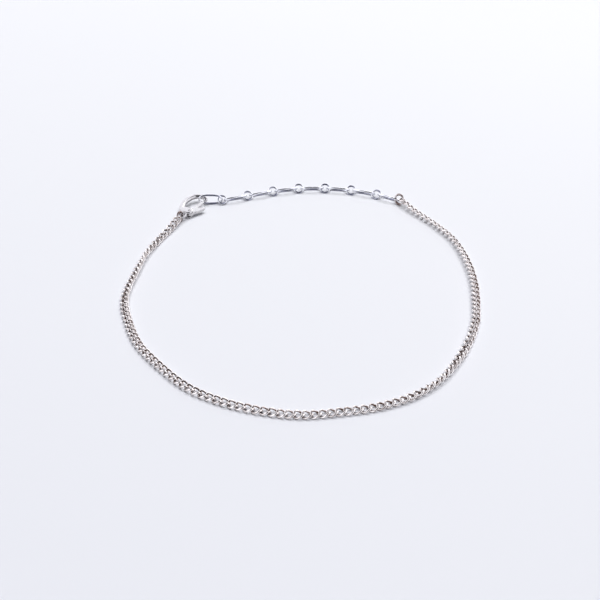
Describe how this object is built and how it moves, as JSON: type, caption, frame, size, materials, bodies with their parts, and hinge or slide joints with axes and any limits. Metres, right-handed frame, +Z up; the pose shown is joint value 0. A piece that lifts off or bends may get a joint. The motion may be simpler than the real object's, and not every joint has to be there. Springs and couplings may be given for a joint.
{
  "type": "chain anklet",
  "caption": "Fine silver curb-chain anklet closed in a loop by a lobster clasp hooked into an extender of alternating round and long oval links.",
  "frame": {"origin": "on the surface the anklet lies on, under the middle of the loop", "axes": "+Z up; +Y away from the viewer across the loop, towards the extender; +X to the viewer's right, with the clasp at -X +Y"},
  "size_m": [0.0781, 0.0858, 0.0031],
  "materials": {
    "chain_silver": "polished silver wire with warm brown-grey shade between the links",
    "ring_silver": "polished silver wire, a little darker and warmer than the clasp",
    "extender_silver": "bright silver wire with cool reflections",
    "clasp_silver": "bright tumbled silver, softly polished casting"
  },
  "bodies": {
    "anklet": {"clasp_body": "clasp_silver", "clasp_rivet": "clasp_silver", "long_link_1": "extender_silver", "long_link_2": "extender_silver", "long_link_3": "extender_silver", "long_link_4": "extender_silver", "long_link_5": "extender_silver", "long_link_6": "extender_silver", "long_link_7": "extender_silver", "long_link_8": "extender_silver", "round_link_1": "extender_silver", "round_link_2": "extender_silver", "round_link_3": "extender_silver", "round_link_4": "extender_silver", "round_link_5": "extender_silver", "round_link_6": "extender_silver", "round_link_7": "extender_silver", "extender_jump_ring": "ring_silver", "clasp_jump_ring": "ring_silver", "main_chain_right": "chain_silver", "main_chain_left": "chain_silver"},
    "lever": {"clasp_lever": "clasp_silver"}
  },
  "joints": [
    {"name": "clasp_lever_hinge", "type": "hinge", "parent": "anklet", "child": "lever", "pos_m": [-0.02726, 0.02951, 0.00099], "axis": [0.0304, -0.1003, 0.9945], "range_deg": [0, 20], "stiffness_Nm_per_rad": 0.002, "springref_deg": -5.73}
  ]
}
